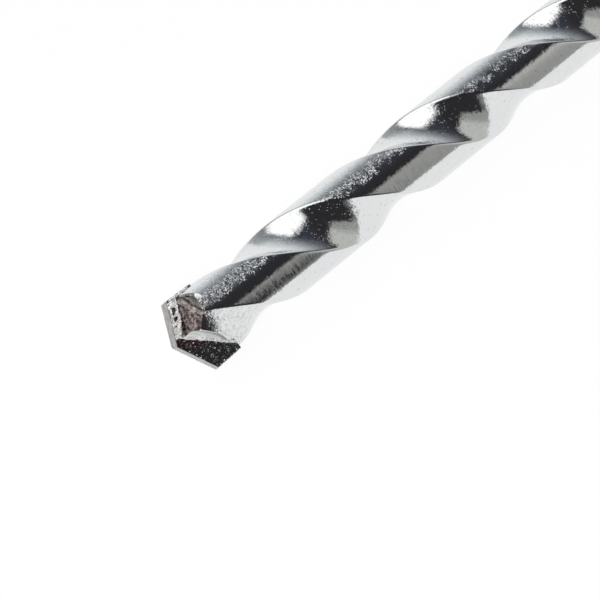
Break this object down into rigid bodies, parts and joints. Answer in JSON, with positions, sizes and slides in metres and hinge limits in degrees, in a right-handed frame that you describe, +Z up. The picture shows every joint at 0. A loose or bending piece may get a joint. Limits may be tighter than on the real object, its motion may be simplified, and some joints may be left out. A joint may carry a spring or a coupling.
{
  "type": "masonry drill bit",
  "caption": "Twist drill bit for masonry: fluted steel body with flat-floored right-hand flutes, carbide plate brazed across a steep point, and a plain round shank for a drill chuck.",
  "frame": {"origin": "on the resting plane, below the middle of the bit's length", "axes": "+X runs along the bit from the point to the shank, +Z is up as the bit lies, +Y is across it"},
  "size_m": [0.12, 0.0098, 0.0091],
  "materials": {
    "plated_steel": "bright plated, lightly scratched",
    "ground_carbide": "ground",
    "braze": "rough, pitted"
  },
  "bodies": {
    "root": {"steel_body": "plated_steel", "carbide_tip": "ground_carbide", "braze_joint": "braze"}
  },
  "joints": []
}
